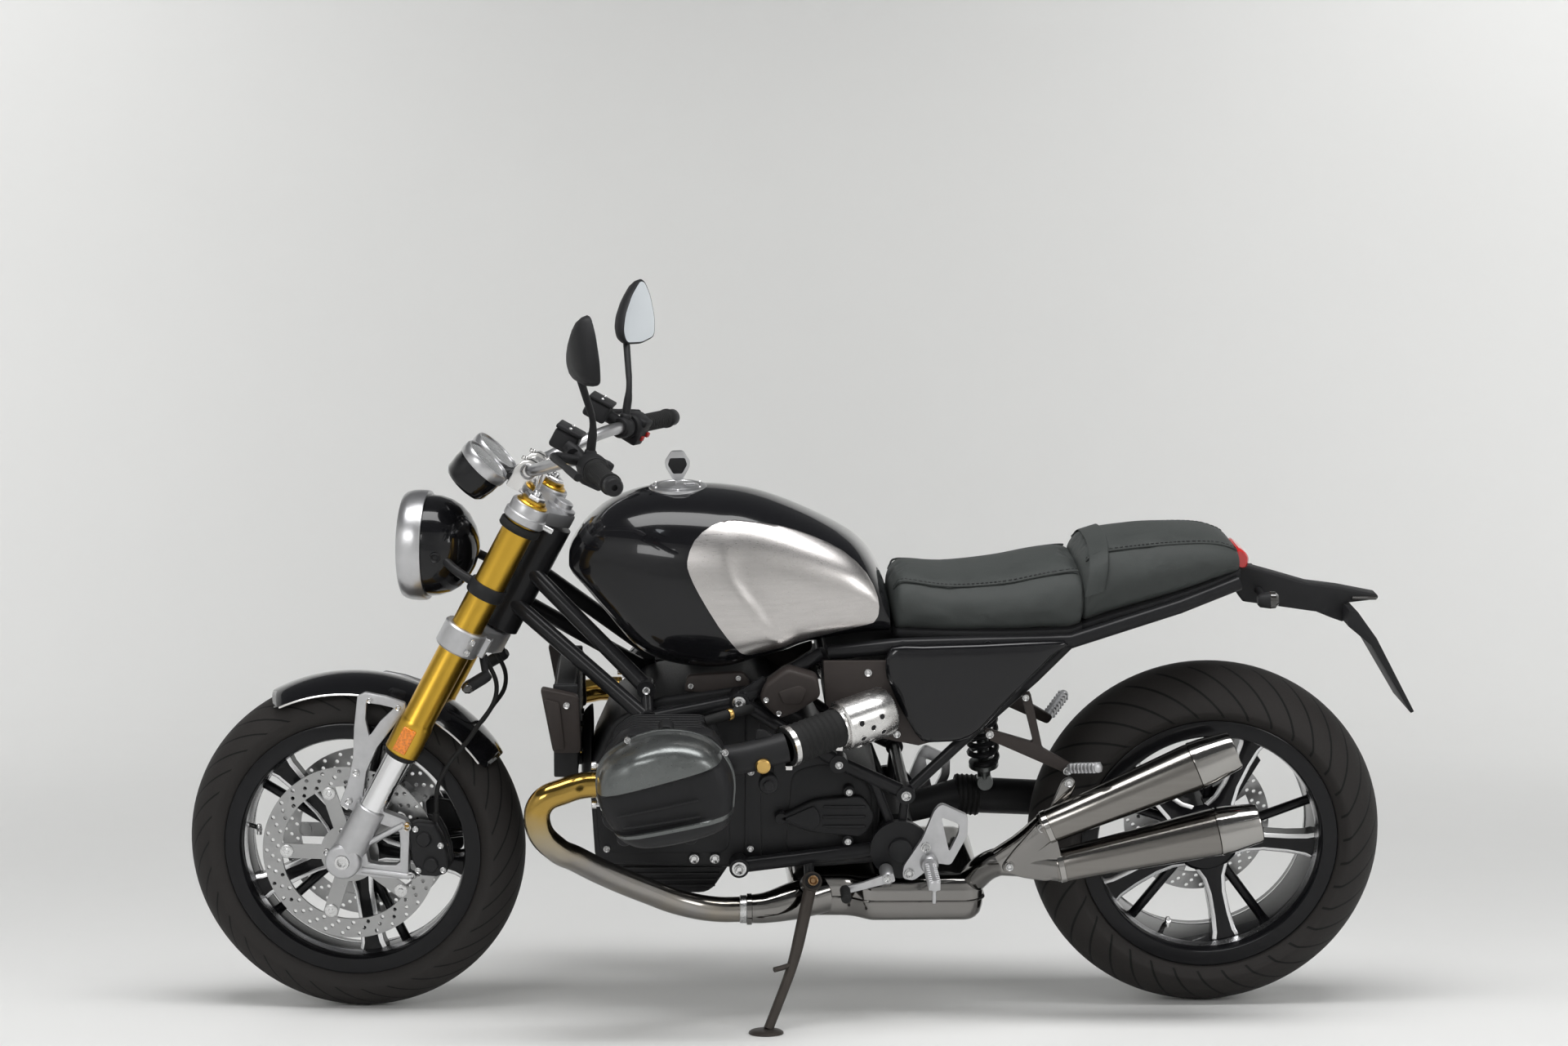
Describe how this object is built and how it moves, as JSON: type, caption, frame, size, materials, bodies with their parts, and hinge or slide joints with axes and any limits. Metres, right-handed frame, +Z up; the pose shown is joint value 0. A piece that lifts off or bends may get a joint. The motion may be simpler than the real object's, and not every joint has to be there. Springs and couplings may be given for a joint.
{
  "type": "standard motorcycle",
  "caption": "Naked roadster motorcycle with a flat twin engine, shaft drive, upside-down fork and stacked silencers, parked leaning on its side stand.",
  "frame": {"origin": "on the ground under the middle of the outline box", "axes": "+X towards the rear wheel, +Y to the rider's right, +Z up; the machine leans towards -Y"},
  "size_m": [2.1639, 0.9338, 1.2885],
  "materials": {
    "tyre": "matte",
    "gloss_black": "gloss",
    "disc_steel": "brushed",
    "gold_anodised": "satin",
    "chrome": "polished",
    "cast_silver": "satin",
    "bare_metal": "brushed",
    "black_plastic": "matte",
    "rubber": "matte",
    "caliper_black": "satin",
    "signal_smoke": "gloss",
    "frame_black": "satin",
    "engine_black": "satin",
    "cover_grey": "satin",
    "brown_black": "matte",
    "seat_cover": "matte",
    "red_lens": "gloss",
    "exhaust_steel": "satin",
    "shock_grey": "satin",
    "stand_dark": "satin"
  },
  "bodies": {
    "chassis": {"main_frame": "frame_black", "subframe": "frame_black", "engine_block": "engine_black", "cylinders": "engine_black", "valve_covers": "cover_grey", "oil_cooler": "brown_black", "intakes": "rubber", "airbox": "black_plastic", "airbox_covers": "brown_black", "side_panels": "gloss_black", "fuel_tank": "gloss_black", "tank_panels": "bare_metal", "filler_ring": "bare_metal", "rider_seat": "seat_cover", "pillion_seat": "seat_cover", "tail_light": "red_lens", "tail_arm": "black_plastic", "rear_signals": "signal_smoke", "exhaust_headers": "exhaust_steel", "collector": "chrome", "silencers": "exhaust_steel", "swingarm": "frame_black", "final_drive": "frame_black", "rear_caliper": "caliper_black", "shock": "shock_grey", "foot_controls": "cast_silver", "passenger_pegs": "brown_black"},
    "steering": {"fork_tubes": "gold_anodised", "fork_stanchions": "chrome", "fork_feet": "cast_silver", "front_axle": "cast_silver", "lower_clamp": "cast_silver", "upper_clamp": "cast_silver", "handlebar": "cast_silver", "grips": "rubber", "hand_controls": "black_plastic", "mirrors": "black_plastic", "headlight": "gloss_black", "headlight_rim": "cast_silver", "gauges": "black_plastic", "front_fender": "gloss_black", "fender_brackets": "cast_silver", "front_calipers": "caliper_black", "brake_hoses": "rubber", "front_signals": "signal_smoke"},
    "side_stand": {"side_stand": "stand_dark"},
    "fuel_cap": {"fuel_cap": "bare_metal"},
    "front_wheel": {"front_tyre": "tyre", "front_rim": "gloss_black", "front_discs": "disc_steel"},
    "rear_wheel": {"rear_tyre": "tyre", "rear_rim": "gloss_black", "rear_disc": "disc_steel"}
  },
  "joints": [
    {"name": "steering", "type": "hinge", "parent": "chassis", "child": "steering", "pos_m": [-0.7467, 0.10959, 0.27763], "axis": [0.4653, -0.1811, 0.8664], "range_deg": [-26.1, 39.9]},
    {"name": "front_wheel", "type": "hinge", "parent": "steering", "child": "front_wheel", "pos_m": [-0.78307, 0.11055, 0.29737], "axis": [0.1064, 0.9832, 0.1483], "continuous": true},
    {"name": "rear_wheel", "type": "hinge", "parent": "chassis", "child": "rear_wheel", "pos_m": [0.72767, 0.10258, 0.31035], "axis": [0.0001, 0.9789, 0.2045], "continuous": true},
    {"name": "side_stand", "type": "hinge", "parent": "chassis", "child": "side_stand", "pos_m": [0.01713, -0.05965, 0.2462], "axis": [0.0834, -0.9615, 0.2617], "range_deg": [0, 88.7]},
    {"name": "fuel_cap", "type": "hinge", "parent": "chassis", "child": "fuel_cap", "pos_m": [-0.25453, -0.02712, 0.93176], "axis": [-0.0001, -0.9789, -0.2045], "range_deg": [0, 90]}
  ]
}
